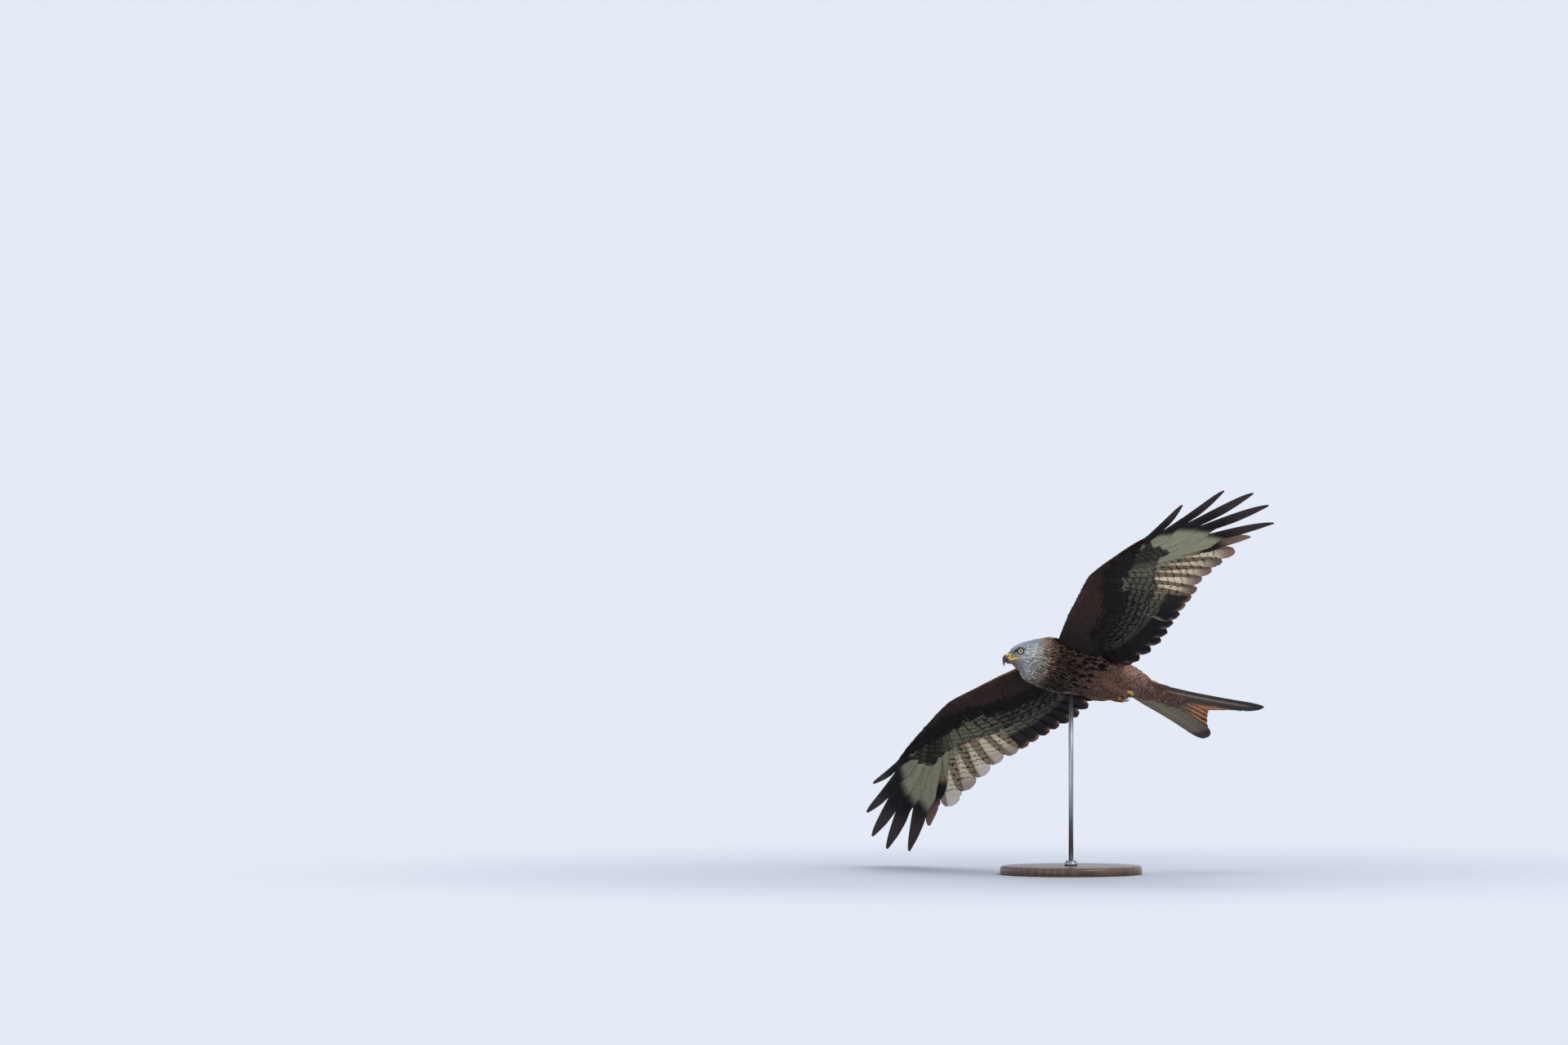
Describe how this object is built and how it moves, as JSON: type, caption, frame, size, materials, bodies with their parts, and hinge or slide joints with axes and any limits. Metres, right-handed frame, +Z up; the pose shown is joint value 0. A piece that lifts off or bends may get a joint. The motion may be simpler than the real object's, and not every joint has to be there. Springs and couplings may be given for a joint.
{
  "type": "red kite",
  "caption": "Life-size red kite in a banked glide with spread wings and a forked tail, held by a plain stand with a round base and an upright rod.",
  "frame": {"origin": "middle of the stand base's flat underside, straight below the rod", "axes": "+X is the way the bird flies, +Y its left side before it banks, +Z up"},
  "size_m": [0.647, 1.2686, 0.8258],
  "materials": {
    "body_plumage": "matte",
    "head_plumage": "matte",
    "wing_plumage": "matte, barred",
    "tail_plumage": "matte",
    "eye": "wet gloss",
    "yellow_skin": "satin",
    "horn": "satin",
    "stand_wood": "satin",
    "stand_steel": "brushed"
  },
  "bodies": {
    "root": {"torso": "body_plumage", "neck": "head_plumage", "head": "head_plumage", "cere": "yellow_skin", "bill_upper": "horn", "bill_lower": "horn", "eye_left": "eye", "eye_right": "eye", "tail": "tail_plumage", "wing_left_arm": "wing_plumage", "wing_left_hand": "wing_plumage", "wing_right_arm": "wing_plumage", "wing_right_hand": "wing_plumage", "leg_left": "body_plumage", "foot_left": "yellow_skin", "leg_right": "body_plumage", "foot_right": "yellow_skin", "talon_left_1": "horn", "talon_left_2": "horn", "talon_left_3": "horn", "talon_left_4": "horn", "talon_right_1": "horn", "talon_right_2": "horn", "talon_right_3": "horn", "talon_right_4": "horn", "stand_base": "stand_wood", "stand_rod": "stand_steel", "stand_collar": "stand_steel"}
  },
  "joints": []
}
